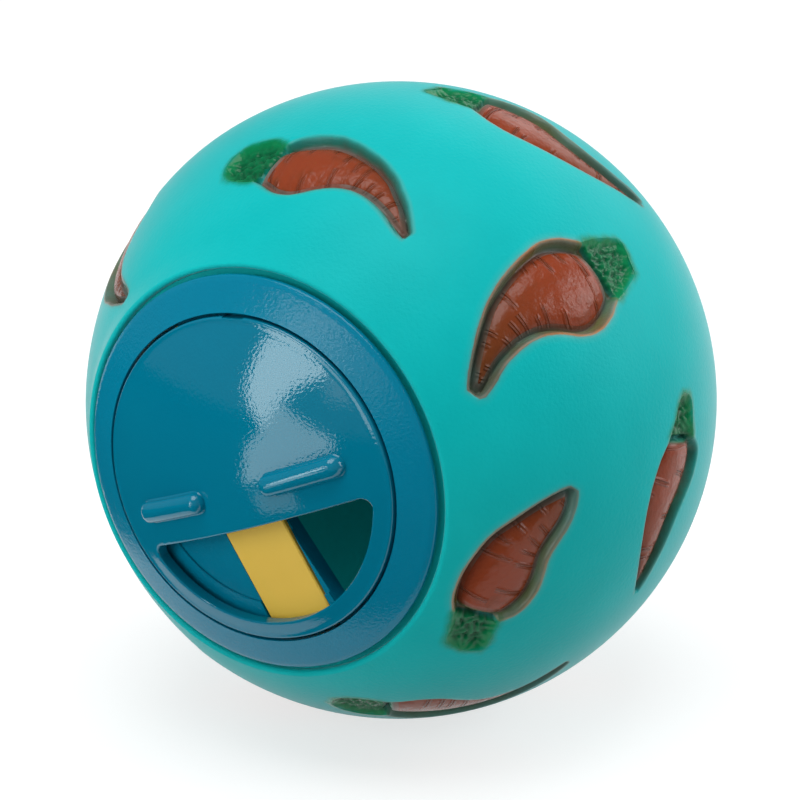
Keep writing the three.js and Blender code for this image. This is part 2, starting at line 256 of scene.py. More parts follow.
# Carrots of the mould, each as sculpted: u runs along the carrot and v to its belly side, in
# millimetres. A line starts at the leaf's end, and the body's lines start at the shoulder.
carrotKinds = {
    "hooked": {
        "moatBack": 0.25,
        "leafBelly": [(-15.0, 0.9), (-15.2, 1.7), (-15.0, 2.8), (-14.1, 4.0), (-13.0, 4.9),
            (-11.5, 5.5), (-9.9, 5.6), (-8.6, 5.2)],
        "bodyBelly": [(-8.6, 5.2), (-8.2, 6.2), (-7.2, 7.1), (-5.9, 7.8), (-4.5, 8.4), (-2.8, 8.8),
            (-0.5, 8.8), (1.5, 8.5), (3.5, 8.1), (5.3, 7.5), (7.1, 6.7), (8.8, 5.5), (10.5, 4.3),
            (11.9, 2.9), (13.1, 1.6), (13.5, 0.9)],
        "leafBack": [(-14.8, -0.1), (-14.2, -0.9), (-12.7, -1.6), (-10.9, -1.6), (-9.7, -1.4),
            (-8.7, -1.2)],
        "bodyBack": [(-8.7, -1.2), (-7.0, -1.5), (-5.4, -1.9), (-3.8, -1.9), (-2.3, -1.5),
            (-0.9, -0.6), (0.5, 0.5), (2.1, 1.5), (3.6, 2.0), (5.2, 2.1), (6.8, 1.9), (8.6, 1.4),
            (10.3, 0.7), (11.8, 0.1), (12.7, -0.1), (13.2, 0.2)],
    },
    "broad": {
        "moatBack": 0.8,
        "leafBelly": [(-14.3, 1.2), (-14.7, 2.2), (-14.9, 3.3), (-13.6, 4.3), (-12.0, 5.1),
            (-10.4, 5.7), (-8.9, 6.1)],
        "bodyBelly": [(-8.9, 6.1), (-8.0, 6.9), (-6.9, 7.8), (-5.8, 8.4), (-4.5, 8.9), (-3.1, 9.1),
            (-1.8, 9.1), (-0.3, 9.0), (1.3, 8.8), (2.9, 8.5), (4.3, 8.1), (5.8, 7.6), (7.2, 6.9),
            (8.6, 6.0), (10.0, 5.0), (11.5, 3.8), (12.8, 2.6), (13.9, 1.4), (14.3, 0.6)],
        "leafBack": [(-13.9, 0.2), (-13.5, -0.6), (-12.1, -0.9), (-10.4, -1.2), (-8.3, -1.4)],
        "bodyBack": [(-8.3, -1.4), (-7.3, -1.8), (-6.2, -2.3), (-4.9, -2.6), (-3.5, -2.7),
            (-2.2, -2.5), (-1.1, -2.0), (0.0, -1.2), (1.0, -0.4), (2.1, 0.3), (3.3, 0.8),
            (4.6, 1.1), (6.0, 1.2), (7.4, 1.1), (8.8, 0.9), (10.0, 0.5), (11.1, 0.0), (12.1, -0.4),
            (13.1, -0.6), (13.9, -0.2)],
    },
    "straight": {
        "moatBack": 0.4,
        "leafBelly": [(-11.6, -0.1), (-11.7, 0.8), (-11.2, 1.9), (-9.7, 2.8), (-8.4, 3.5),
            (-7.3, 4.3)],
        "bodyBelly": [(-7.3, 4.3), (-6.6, 5.1), (-5.4, 5.9), (-4.0, 6.5), (-2.5, 6.9), (-0.9, 7.1),
            (0.9, 7.1), (2.5, 6.9), (3.9, 6.4), (5.5, 5.6), (7.2, 4.7), (8.8, 3.7), (10.2, 2.6),
            (11.3, 1.5), (11.8, 0.9)],
        "leafBack": [(-11.3, -1.3), (-10.9, -2.5), (-10.1, -3.0), (-8.6, -2.5), (-6.9, -1.9),
            (-5.9, -1.5)],
        "bodyBack": [(-5.9, -1.5), (-5.1, -2.2), (-4.1, -2.7), (-2.7, -3.0), (-1.3, -2.9),
            (0.0, -2.6), (1.2, -2.2), (2.4, -1.6), (3.6, -1.2), (5.1, -1.1), (6.6, -1.2),
            (7.9, -1.2), (9.2, -1.0), (10.4, -0.6), (11.2, -0.2), (11.7, 0.2)],
    },
    "slim": {
        "moatBack": 0.6,
        "leafBelly": [(-12.3, 1.4), (-11.9, 2.3), (-11.0, 3.0), (-9.8, 3.6), (-8.5, 4.2),
            (-7.2, 4.9)],
        "bodyBelly": [(-7.2, 4.9), (-6.1, 5.7), (-4.9, 6.4), (-3.4, 6.9), (-1.7, 7.2), (-0.1, 7.2),
            (1.7, 7.0), (3.6, 6.5), (5.7, 5.7), (7.7, 4.7), (9.9, 3.3), (11.6, 2.0), (12.5, 1.2)],
        "leafBack": [(-12.0, 0.3), (-11.4, -0.3), (-10.4, -0.6), (-9.0, -0.7), (-8.0, -0.8),
            (-7.1, -1.2)],
        "bodyBack": [(-7.1, -1.2), (-6.4, -2.3), (-5.4, -3.0), (-4.1, -3.1), (-2.7, -2.7),
            (-1.3, -2.1), (0.1, -1.4), (1.7, -0.7), (3.5, -0.3), (5.3, -0.1), (7.1, 0.1),
            (8.9, 0.3), (10.7, 0.4), (12.2, 0.5)],
    },
}
# Where each carrot lies: the kind, the turn round the closure's axis and the angle from it, the
# way the tip points (0 = growing turn, 90 = to the closure), the side that the belly is on, and
# how much paint mist there is on the rim.
carrots = [
    ("hooked", 87, 56, 170, 1, 0.12),
    ("broad", 31, 69, 100, -1, 1.0),
    ("straight", -17, 55, -23, 1, 0.85),
    ("slim", -8, 91, 168, -1, 0.15),
    ("broad", 66, 105, -162, -1, 0.6),
    ("hooked", -56, 64, -45, -1, 0.5),
    ("hooked", 141, 65, 92, -1, 0.8),
    ("broad", -110, 68, 160, 1, 0.4),
    ("straight", -165, 71, -5, -1, 0.9),
    ("slim", 118, 106, -143, 1, 0.3),
    ("hooked", -130, 113, 100, -1, 0.7),
    ("straight", -62, 114, -40, 1, 0.2),
    ("broad", 172, 121, 60, -1, 0.5),
    ("slim", 10, 137, 166, 1, 0.8),
    ("hooked", 100, 152, 20, 1, 0.35),
    ("straight", -100, 158, 130, -1, 0.9),
]
relief = {
    "depth": 1.4,
    "ridgeRise": 1.18,
    "ridgeRiseTip": 0.8,
    "moatBelly": 0.95,
    "moatTaper": 0.45,
    "shoulderDepth": 1.25,
    "leafDepth": 1.0,
    "leafLump": 0.48,
    "lumpLength": 1.9,
    "lumpWidth": 1.7,
    "foldLength": 2.7,
    "ruffleLength": 2.4,
    "leafStations": 20,
    "bodyStations": 58,
    "ridgeColumns": 24,
    "lift": 2.6,
    "markReach": 21,  # from a carrot's middle, past all of its paint
    "markDepth": 2.2,
}
# Distance in from the rim, and the share of the full depth there: a rounded rim and a steep wall.
rimSteps = [-0.5, -0.05, 0.12, 0.24, 0.33, 0.41, 0.52, 0.72, 0.95]
wallShare = [-0.13, 0.0, 0.05, 0.15, 0.34, 0.62, 0.88, 0.98, 1.0]
leafSteps = [-0.5, -0.05, 0.35, 0.8, 1.4]
leafShare = [-0.2, 0.0, 0.38, 0.78, 1.0]


# Distances along a line, from its first point.
def distances(line):
    return np.concatenate([[0], np.cumsum(np.hypot(*np.diff(line, axis=0).T))])


def pointsAlong(line, along, at):
    return np.stack([np.interp(at, along, line[:, 0]), np.interp(at, along, line[:, 1])], axis=1)


# A smooth line through control points, as evenly spaced points.
def smoothLine(points, count):
    p = np.array([points[0], *points, points[-1]], float)
    t = np.linspace(0, 1, 12, endpoint=False)[:, None]
    pieces = []
    for a, b, c, d in zip(p, p[1:], p[2:], p[3:]):
        bend = (2 * a - 5 * b + 4 * c - d) * t**2 + (3 * b - a - 3 * c + d) * t**3
        pieces.append(0.5 * (2 * b + (c - a) * t + bend))
    line = np.vstack([*pieces, p[-1:]])
    along = distances(line)
    return pointsAlong(line, along, np.linspace(0, along[-1], count))


def carrotAxes(turn, polar, heading):
    t, p, g = (math.radians(a) for a in (turn, polar, heading))
    out = np.array([math.sin(p) * math.cos(t), math.sin(p) * math.sin(t), math.cos(p)])
    around = np.array([-math.sin(t), math.cos(t), 0])
    ahead = around * math.cos(g) + np.cross(out, around) * math.sin(g)
    return out, ahead, np.cross(out, ahead)


# Points of a carrot's own plane laid on a sphere about the ball's centre.
def layOnBall(axes, u, v, radius):
    out, ahead, left = axes
    reach = np.hypot(u, v)
    angle = reach / ball["radius"]
    k = np.where(reach > 0, np.sin(angle) / np.maximum(reach, 1e-9), 1 / ball["radius"])
    ray = np.cos(angle)[..., None] * out
    ray = ray + (k * u)[..., None] * ahead + (k * v)[..., None] * left
    return ray * radius[..., None]


# The carrot's two side lines, its middle line, and the distance along that from the shoulder.
def carrotLines(kind, dense=240):
    shape = carrotKinds[kind]
    sides = []
    for side in ("Belly", "Back"):
        leaf, body = (smoothLine(shape[part + side], dense) for part in ("leaf", "body"))
        sides.append(np.vstack([leaf, body[1:]]))
    belly, back = sides
    middle = (belly + back) / 2
    along = distances(middle)
    return belly, back, middle, along - along[dense - 1]


def stationAt(lines, s):
    belly, back, middle, along = lines
    pair = [pointsAlong(side, along, s) for side in (belly, back)]
    for end, way in ((along[0], middle[0] - middle[6]), (along[-1], middle[-1] - middle[-7])):
        past = np.maximum(0, (s - end) * math.copysign(1, end))
        for side in pair:
            side += past[:, None] * way / np.hypot(*way)
    return pair


# Distance in from a closed line; outside it the distance is negative.
def insideOf(outline, points):
    best = np.full(len(points), 1e9)
    within = np.zeros(len(points), bool)
    for (ax, ay), (bx, by) in zip(outline, np.roll(outline, -1, axis=0)):
        ex, ey = bx - ax, by - ay
        px, py = points[:, 0] - ax, points[:, 1] - ay
        t = np.clip((px * ex + py * ey) / (ex * ex + ey * ey + 1e-12), 0, 1)
        best = np.minimum(best, np.hypot(px - t * ex, py - t * ey))
        if ey != 0:
            crosses = (ay > points[:, 1]) != (by > points[:, 1])
            within ^= crosses & (points[:, 0] < ax + py * ex / ey)
    return np.where(within, best, -best)


# The relief below the ball's surface, from the distance to the rim, the place along the carrot and
# the share q of the half width, which is positive on the belly side.
def reliefDepth(rimIn, s, q, half, fromTip, phase, u, v, moatBack):
    part = np.clip(s / s.max(), 0, 1)
    wall = np.interp(rimIn, rimSteps, wallShare) * relief["depth"]
    moat = np.where(q > 0, relief["moatBelly"], moatBack) * (1 - relief["moatTaper"] * part**2)
    foot = 1 - np.minimum(moat / half, 0.5)
    share = np.clip(np.abs(q) / foot, 0, 1)
    rise = relief["ridgeRise"] + (relief["ridgeRiseTip"] - relief["ridgeRise"]) * part**1.5
    tip = np.clip((fromTip - 0.5) / 2.4, 0, 1)
    shoulder = np.clip((s - 0.15) / 0.9, 0, 1)
    rounded = np.sqrt(1 - (1 - tip) ** 2) * np.sqrt(1 - (1 - shoulder) ** 2)
    body = wall - rise * rounded * (1 - share**2.4) ** 0.75
    folds = 1.4 * np.sin(2 * math.pi * v / relief["foldLength"] + phase)
    ruffle = 1.1 * np.sin(2 * math.pi * u / relief["ruffleLength"] + 2 * phase)
    lumpU = np.sin(2 * math.pi * u / relief["lumpLength"] + folds)
    lumpV = np.cos(2 * math.pi * v / relief["lumpWidth"] + ruffle)
    lump = 0.5 + 0.5 * lumpU * lumpV
    leaf = np.interp(rimIn, leafSteps, leafShare) * relief["leafDepth"]
    leaf = leaf - relief["leafLump"] * lump**0.8 * np.clip(rimIn / 1.2, 0, 1)
    mix = np.clip((s + 0.45) / 0.4, 0, 1)
    deepest = relief["shoulderDepth"] + 0.4 * np.clip(s / 1.5, 0, 1)
    return leaf * (1 - mix) + np.minimum(body, deepest) * mix


# One cutter: a grid takes the carrot's relief on its underside and is extruded outwards.
def carrotCutter(index):
    kind, turn, polar, heading, bellySide = carrots[index][:5]
    lines = carrotLines(kind)
    belly, back, _, along = lines
    outline = np.vstack([belly[::5], back[::-5]])
    edge = np.array(rimSteps)
    leafEnd = along[0] + np.array(leafSteps[:-1])
    leafS = np.linspace(leafEnd[-1], -0.5, relief["leafStations"] + 1)[1:]
    shoulderS = [-0.3, -0.1, 0.1, 0.3, 0.55, 0.85]
    tipEnd = along[-1] - edge[:-1][::-1]
    bodyS = np.linspace(shoulderS[-1], tipEnd[0], relief["bodyStations"] + 2)[1:-1]
    s = np.concatenate([leafEnd, leafS, shoulderS, bodyS, tipEnd])
    bellyAt, backAt = stationAt(lines, s)
    half = np.maximum(np.hypot(*(bellyAt - backAt).T) / 2, 0.1)[:, None]
    shrink = np.where(edge > 0, np.minimum(1, half / 2), 1)
    rim = 1 - edge * shrink / half
    ridge = np.linspace(-1, 1, relief["ridgeColumns"] + 2)[1:-1] * rim[:, -1:]
    q = np.hstack([-rim, ridge, rim[:, ::-1]])
    middle, across = (bellyAt + backAt) / 2, (bellyAt - backAt) / 2
    u = middle[:, :1] + q * across[:, :1]
    v = middle[:, 1:] + q * across[:, 1:]
    rimIn = insideOf(outline, np.stack([u.ravel(), v.ravel()], axis=1)).reshape(u.shape)
    station = np.repeat(s[:, None], q.shape[1], axis=1)
    moatBack = carrotKinds[kind]["moatBack"]
    depth = reliefDepth(rimIn, station, q, half, along[-1] - station, index * 1.7, u, v, moatBack)
    spot = layOnBall(carrotAxes(turn, polar, heading), u, v * bellySide, ball["radius"] - depth)
    rows, cols = q.shape
    deselectAll()
    bpy.ops.mesh.primitive_grid_add(x_subdivisions=rows - 1, y_subdivisions=cols - 1, size=2)
    obj = bpy.context.object
    setMode("EDIT")
    extrude((0, 0, 1))
    setMode("OBJECT")
    co = readPoints(obj)
    row = np.rint((co[:, 0] + 1) / 2 * (rows - 1)).astype(int)
    col = np.rint((co[:, 1] + 1) / 2 * (cols - 1)).astype(int)
    floor = spot[row, col]
    top = floor / np.linalg.norm(floor, axis=1)[:, None] * (ball["radius"] + relief["lift"])
    placePoints(obj, toFrame(np.where(co[:, 2:] > 0.5, top, floor)))
    cleanShell(obj, 1e-7)
    return obj


# The ball's own marks for its paint, in millimetres: carrotMarks holds how far inside the body's
# rim and inside the leaf's a point is, and how far along; carrotAcross holds how far it is to the
# belly side, carrotDepth how far below the skin; carrotMist holds the paint mist.
def markCarrots(obj, far=4.0):
    co = readPoints(obj)
    local = np.stack([co[:, 0], co[:, 2] - ball["radius"] * mm, -co[:, 1]], axis=1)
    reach = np.linalg.norm(local, axis=1)
    ray = local / reach[:, None]
    depth = ball["radius"] - reach / mm
    nearby = math.cos(relief["markReach"] / ball["radius"])
    marks = np.tile([-far, -far, 0.0], (len(co), 1))
    side = np.zeros(len(co))
    mist = np.zeros(len(co))
    for kind, turn, polar, heading, bellySide, spray in carrots:
        out, ahead, left = carrotAxes(turn, polar, heading)
        close = np.nonzero((ray @ out > nearby) & (depth < relief["markDepth"]))[0]
        angle = np.arccos(np.clip(ray[close] @ out, -1, 1))
        stretch = ball["radius"] * angle / np.maximum(np.sin(angle), 1e-9)
        u, v = ray[close] @ ahead * stretch, ray[close] @ left * stretch * bellySide
        uv = np.stack([u, v], axis=1)
        belly, back, middle, along = carrotLines(kind)
        shoulder = len(belly) // 2
        body, leaf = slice(shoulder, None, 6), slice(0, shoulder + 1, 8)
        inBody, inLeaf = (
            insideOf(np.vstack([belly[part], back[part][::-1]]), uv) for part in (body, leaf)
        )
        gaps = uv[:, None, :] - middle[::6]
        nearest = np.argmin(np.hypot(gaps[..., 0], gaps[..., 1]), axis=1)
        way = np.gradient(middle[::6], axis=0)[nearest]
        offset = np.take_along_axis(gaps, nearest[:, None, None], axis=1)[:, 0]
        pace = np.hypot(*way.T)
        across = (way[:, 0] * offset[:, 1] - way[:, 1] * offset[:, 0]) / pace
        station = along[::6][nearest] + np.clip(np.sum(way * offset, axis=1) / pace, -0.4, 0.4)
        better = np.maximum(inBody, inLeaf) > marks[close, :2].max(axis=1)
        target = close[better]
        found = np.stack([inBody, inLeaf, station], axis=1)
        marks[target] = np.clip(found, [-far, -far, -99], 99)[better]
        side[target] = across[better]
        mist[target] = spray
    for name, kind, key, values in (
        ("carrotMarks", "FLOAT_VECTOR", "vector", marks),
        ("carrotAcross", "FLOAT", "value", side),
        ("carrotDepth", "FLOAT", "value", depth),
        ("carrotMist", "FLOAT", "value", mist),
    ):
        layer = obj.data.attributes.new(name, kind, "POINT")
        layer.data.foreach_set(key, values.ravel())


# The rims stay crisp: the ball's own skin and the recesses are shaded apart.
def sharpenRims(obj):
    co = readPoints(obj)
    reach = np.linalg.norm(co - np.array(ballCentre), axis=1)
    onSkin = np.abs(reach - ball["radius"] * mm) < 9e-6
    skinFaces = [all(onSkin[i] for i in face.vertices) for face in obj.data.polygons]
    sides = {}
    for face, skin in zip(obj.data.polygons, skinFaces):
        for key in face.edge_keys:
            sides.setdefault(key, []).append(skin)
    pick(obj)
    setMode("EDIT")
    bpy.ops.mesh.select_mode(type="EDGE")
    bpy.ops.mesh.select_all(action="DESELECT")
    setMode("OBJECT")
    for edge in obj.data.edges:
        edge.select = len(set(sides[edge.key])) == 2
    setMode("EDIT")
    bpy.ops.mesh.mark_sharp()
    bpy.ops.mesh.select_mode(type="VERT")
    setMode("OBJECT")


# The soft wall is drawn in beside the stiff flange, on the left and above it, where the ball's
# outline in the photograph runs inside a circle.
def drawIn(obj):
    co = readPoints(obj)
    out = co - np.array(ballCentre)
    angle = np.degrees(np.arccos(np.clip(-out[:, 1] / np.linalg.norm(out, axis=1), -1, 1)))
    turn = np.arctan2(out[:, 2], out[:, 0]) - math.radians(ball["dipTurn"])
    side = np.clip(np.cos(turn), 0, 1) ** 0.7
    near = np.clip((angle - ball["dipStart"]) / ball["dipRise"], 0, 1)
    far = np.clip((ball["dipEnd"] - angle) / ball["dipFade"], 0, 1)
    dip = ball["dip"] * mm * side * near**2 * (3 - 2 * near) * far**2 * (3 - 2 * far)
    placePoints(obj, co - out / np.linalg.norm(out, axis=1)[:, None] * dip[:, None])


def buildBall():
    inner = ball["radius"] - ball["wall"]
    # The mouth's outer edge is a small bead, with a groove between it and the flange.
    bead, lip = ball["beadRound"], ball["lipRound"]
    beadRadius = ball["seatRadius"] - 0.05 + bead
    beadHeight = math.sqrt((ball["radius"] - bead) ** 2 - beadRadius**2)
    roundEnd = math.degrees(math.atan2(beadHeight, beadRadius))
    grooveFloor = seatHeight - ball["grooveDepth"]
    lipCorner = math.degrees(math.asin(lipHeight / inner))
    section = arcPoints(0, 0, ball["radius"], -90, roundEnd, ball["outerRows"])
    section += arcPoints(beadRadius, beadHeight, bead, roundEnd, 180, 8)[1:]
    section += [
        (ball["seatRadius"] - 0.1, grooveFloor),
        (dome["flangeRadius"] - 0.7, grooveFloor),
        (dome["flangeRadius"] - 0.9, seatHeight),
    ]
    section += arcPoints(ball["mouthRadius"] + lip, seatHeight - lip, lip, 90, 180, 3)
    section += [(ball["mouthRadius"], lipHeight)]
    section += arcPoints(0, 0, inner, lipCorner, -90, ball["innerRows"])
    section[0] = (0, section[0][1])
    section[-1] = (0, section[-1][1])
    obj = turned("vinyl_ball", section, ball["spinSteps"])
    cutters = [carrotCutter(i) for i in range(len(carrots))]
    boolean(obj, joined("carrotCutters", cutters), "DIFFERENCE")
    markCarrots(obj)
    sharpenRims(obj)
    drawIn(obj)
    smooth(obj, 50)
    print("ball:", triangleCount(obj), "triangles")
    return obj


vinylBall = buildBall()
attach(vinylBall, "ball")
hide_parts("ball_shell")

# An ease lists how far a hole's edge has opened, and how high over the face that is.
collar = {
    "edgeRound": 0.4,
    "tubeRadius": 20.4,
    "tubeBore": 18.6,
    "barbReach": 1.2,
    "barbLength": 2.6,
    "boreRadius": 19.0,
    "floorHeight": seatHeight + 0.8,
    "landHeight": seatHeight + 1.1,
    "landWidth": 3.8,
    "plateThickness": 2.2,
    "hubBore": 3.35,
    "gateTurn": 34,
    "holeRadius": 16.6,
    "holeEase": [(0, -0.25), (0.06, -0.08), (0.2, 0.06), (0.2, 1.5)],
    "bossRadius": 5.0,
    "spinSteps": 192,
}
strip = {
    "width": 8.2,
    "outer": 18.8,
    "thickness": 0.6,
    "bevel": 0.15,
    "bevelTurns": (90.5, 115.6, 91.7),  # where its arcs end, in rounded degrees
    "rebateGrow": 0.2,
}
barbTop = lipHeight - dome["seatGap"]
plateBottom = collar["floorHeight"] - collar["plateThickness"]


# Closed outlines in closure coordinates, turned round the axis.
def turnedOutline(points, degrees):
    a = math.radians(degrees)
    c, s = math.cos(a), math.sin(a)
    return [(x * c - y * s, x * s + y * c) for x, y in points]


def gateHoleOutline(grow=0.0):
    outer, boss = collar["holeRadius"] + grow, collar["bossRadius"] - grow
    rim = arcPoints(0, 0, outer, -90, 90, 48)
    rim[0], rim[-1] = (-grow, -outer), (-grow, outer)
    notch = arcPoints(0, 0, boss, 90, -90, 20)
    notch[0], notch[-1] = (-grow, boss), (-grow, -boss)
    return turnedOutline(rim + notch, collar["gateTurn"])


def stripOutline(grow, turns=None):
    outer, width, notch = strip["outer"] + grow, strip["width"] + grow, collar["bossRadius"] - grow
    edge, back, notchEnd = turns or [
        math.degrees(math.acos(part)) for part in (grow / outer, -width / outer, grow / notch)
    ]
    points = arcPoints(0, 0, outer, edge, back, 12) + arcPoints(0, 0, outer, -back, -edge, 12)
    points += arcPoints(0, 0, notch, -notchEnd, notchEnd - 360, 24)
    return turnedOutline(points, collar["gateTurn"])


def level(outline, height):
    return [(x, y, height) for x, y in outline]


def buildCollar():
    c = collar
    edgeTop = float(domeHeight(dome["flangeRadius"]))
    tubeEnd = barbTop - c["barbLength"]
    barbRadius = c["tubeRadius"] + c["barbReach"]
    section = [
        (c["hubBore"], plateBottom),
        (c["tubeBore"], plateBottom),
        (c["tubeBore"], tubeEnd),
        (c["tubeRadius"], tubeEnd),
        (barbRadius, barbTop - c["barbLength"] / 4),
        (barbRadius, barbTop),
        (c["tubeRadius"], barbTop),
        (c["tubeRadius"], flangeBottom),
        (dome["flangeRadius"] - 0.1, flangeBottom),
        (dome["flangeRadius"], flangeBottom + 0.1),
    ]
    edge = c["edgeRound"]
    section += arcPoints(dome["flangeRadius"] - edge, edgeTop - edge + 0.08, edge, 0, 66, 6)
    bore, landEnd = c["boreRadius"], c["boreRadius"] - c["landWidth"]
    section += domePoints(dome["flangeRadius"] - edge + 0.02, bore + 0.16, 12)
    inner = float(domeHeight(bore))
    section += [
        (bore + 0.06, inner - 0.02),
        (bore + 0.01, inner - 0.07),
        (bore, inner - 0.16),
        (bore, c["landHeight"]),
        (landEnd + 0.08, c["landHeight"]),
        (landEnd, c["landHeight"] - 0.08),
        (landEnd, c["floorHeight"]),
        (c["hubBore"], c["floorHeight"]),
        (c["hubBore"], plateBottom),
    ]
    obj = turned("flange_collar", section, c["spinSteps"])
    top = c["floorHeight"]
    rings = [level(gateHoleOutline(grow), top + above) for grow, above in c["holeEase"]]
    hole = drawnOut("gateHole", [level(gateHoleOutline(), plateBottom - 1), *rings])
    boolean(obj, hole, "DIFFERENCE")
    rebateBottom = c["landHeight"] - strip["thickness"] - dome["seatGap"]
    grown = stripOutline(strip["rebateGrow"])
    rebate = drawnOut("stripRebate", [level(grown, rebateBottom), level(grown, top + 1.5)])
    boolean(obj, rebate, "DIFFERENCE")
    smooth(obj, 30)
    print("collar:", triangleCount(obj), "triangles")
    return obj


def buildStrip():
    top, bevel = collar["landHeight"], strip["bevel"]
    outline = stripOutline(0)
    rings = [level(outline, top - strip["thickness"]), level(outline, top - bevel)]
    rings.append(level(stripOutline(-bevel, strip["bevelTurns"]), top))
    obj = drawnOut("yellow_strip", rings)
    smooth(obj, 30)
    return obj


dial = {
    "radius": 18.65,
    "wall": 1.5,
    "rimWidth": 1.4,
    "edgeRound": 0.35,
    "turn": 22.5,
    "windowRadius": 16.5,
    "windowChord": 4.8,
    "windowCorner": 1.1,
    "windowEase": [(0, -0.3), (0.03, -0.16), (0.12, -0.04), (0.26, 0.02), (0.5, 0.06), (0.5, 2)],
    "ribStart": 4.2,
    "ribEnd": 14.4,
    "ribWidth": 2.4,
    "ribHeight": 1.6,
    "ribOffset": 0.55,
    "ribEase": [0.02, 0.08, 0.2, 0.38, 0.6, 0.85, 1.2],  # from an end, in half widths
    "scarTurn": 96,
    "scarDepth": 0.18,
    "scarLength": 2.8,
    "hubRadius": 3.2,
    "neckRadius": 2.5,
    "tipRadius": 2.95,
    "tipLength": 1.3,
    "neckLength": 1.4,
    "spinSteps": 192,
}
runningGap = 0.3


# The window: a segment of a circle with round corners, its chord towards +Y before the dial's turn.
def windowOutline(grow=0.0):
    corner = dial["windowCorner"] + grow
    radius = dial["windowRadius"] + grow
    chord = dial["windowChord"] - grow
    inner = radius - corner
    cornerY = chord + corner
    cornerX = math.sqrt(inner**2 - cornerY**2)
    tilt = math.degrees(math.atan2(-cornerY, cornerX))
    points = [(x, -chord) for x in np.linspace(cornerX, -cornerX, 24)][1:-1]
    points += arcPoints(-cornerX, -cornerY, corner, 90, 180 - tilt, 10)
    points += arcPoints(0, 0, radius, 180 - tilt, 360 + tilt, 60)[1:-1]
    points += arcPoints(cornerX, -cornerY, corner, tilt, 90, 10)
    return turnedOutline(points, dial["turn"])


def onDome(outline, above):
    return [(x, y, float(domeHeight(math.hypot(x, y))) + above) for x, y in outline]


# A rib with round ends and an arched back, and a small fillet at its foot.
def fingerRib(side):
    radius = dial["ribWidth"] / 2
    arch = radius * 0.92
    near = [dial["ribStart"] + k * radius for k in dial["ribEase"]]
    far = [dial["ribEnd"] - k * radius for k in reversed(dial["ribEase"])]
    middle = list(np.linspace(near[-1], far[0], 8)[1:-1])
    rings = []
    for u in near + middle + far:
        fromEnd = min(u - dial["ribStart"], dial["ribEnd"] - u, radius) / radius
        swell = math.sqrt(1 - (1 - fromEnd) ** 2)
        base = float(domeHeight(math.hypot(u, dial["ribOffset"])))
        foot = [(1.16, -dial["wall"] / 2), (1.16, 0.0), (1.05, 0.08), (1.0, 0.22)]
        rows = [(v * radius * swell, h) for v, h in foot]
        for a in np.linspace(0, 180, 21):
            v, h = math.cos(math.radians(a)), math.sin(math.radians(a))
            rows.append((v * radius * swell, (dial["ribHeight"] - arch + arch * h) * swell))
        rows += [(-v * radius * swell, h) for v, h in reversed(foot)]
        flat = [(side * u, side * v - dial["ribOffset"]) for v, _ in rows]
        places = turnedOutline(flat, dial["turn"])
        rings.append([(x, y, base + h) for (x, y), (_, h) in zip(places, rows)])
    return drawnOut("rib", rings)


def buildDial():
    d = dial
    neckTop = plateBottom - runningGap
    neckBottom = neckTop - d["neckLength"]
    rimInner = d["radius"] - d["rimWidth"]
    section = [
        (0, neckBottom - d["tipLength"]),
        (d["tipRadius"] * 0.7, neckBottom - d["tipLength"]),
        (d["tipRadius"], neckBottom - d["tipLength"] / 3),
        (d["tipRadius"], neckBottom),
        (d["neckRadius"], neckBottom),
        (d["neckRadius"], neckTop),
        (d["hubRadius"], neckTop),
    ]
    section += domePoints(d["hubRadius"], rimInner, 14, d["wall"])
    rimFoot = collar["landHeight"] + runningGap
    section += [(rimInner, rimFoot), (d["radius"], rimFoot)]
    edge = d["edgeRound"]
    top = float(domeHeight(d["radius"] - edge))
    section += arcPoints(d["radius"] - edge, top - edge + 0.04, edge, 0, 68, 6)
    section += domePoints(d["radius"] - edge - 0.02, 0, 40)
    obj = turned("dial_disc", section, d["spinSteps"])
    rings = [onDome(windowOutline(grow), above) for grow, above in d["windowEase"]]
    window = drawnOut("window", [level(windowOutline(), plateBottom), *rings])
    for side in (1, -1):
        boolean(obj, fingerRib(side), "UNION")
    boolean(obj, window, "DIFFERENCE")
    edgeTop = float(domeHeight(d["radius"]))
    reach, length = d["radius"] - d["scarDepth"], d["scarLength"] / 2
    corners = [(reach, -length), (reach + 2, -length), (reach + 2, length), (reach, length)]
    scar = turnedOutline(corners, d["scarTurn"])
    rings = [level(scar, edgeTop - 1.6), level(scar, edgeTop + 1.6)]
    boolean(obj, drawnOut("scar", rings), "DIFFERENCE")
    smooth(obj, 32)
    print("dial:", triangleCount(obj), "triangles")
    return obj


flangeCollar = buildCollar()
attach(flangeCollar, "ball")
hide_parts("collar")
yellowStrip = buildStrip()
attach(yellowStrip, "ball")
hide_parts("marker_strip")
dialDisc = buildDial()
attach(dialDisc, "dial")
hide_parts("dial")

camera = {
    "distance": 400.0,
    "towards": (0.4950, -0.8043, 0.3289),
    "lens": 152.4,
    "shiftX": 0.0025,
}


def placeCamera():
    data = bpy.data.cameras.new("camera")
    data.lens = camera["lens"]
    data.sensor_width = 36
    data.shift_x = camera["shiftX"]
    data.clip_start = 0.01
    obj = newObject("camera", data)
    towards = Vector(camera["towards"]).normalized()
    obj.location = ballCentre + towards * camera["distance"] * mm
    obj.rotation_euler = towards.to_track_quat("Z", "Y").to_euler()
    bpy.context.scene.camera = obj


placeCamera()
bpy.context.scene.view_settings.view_transform = "Standard"

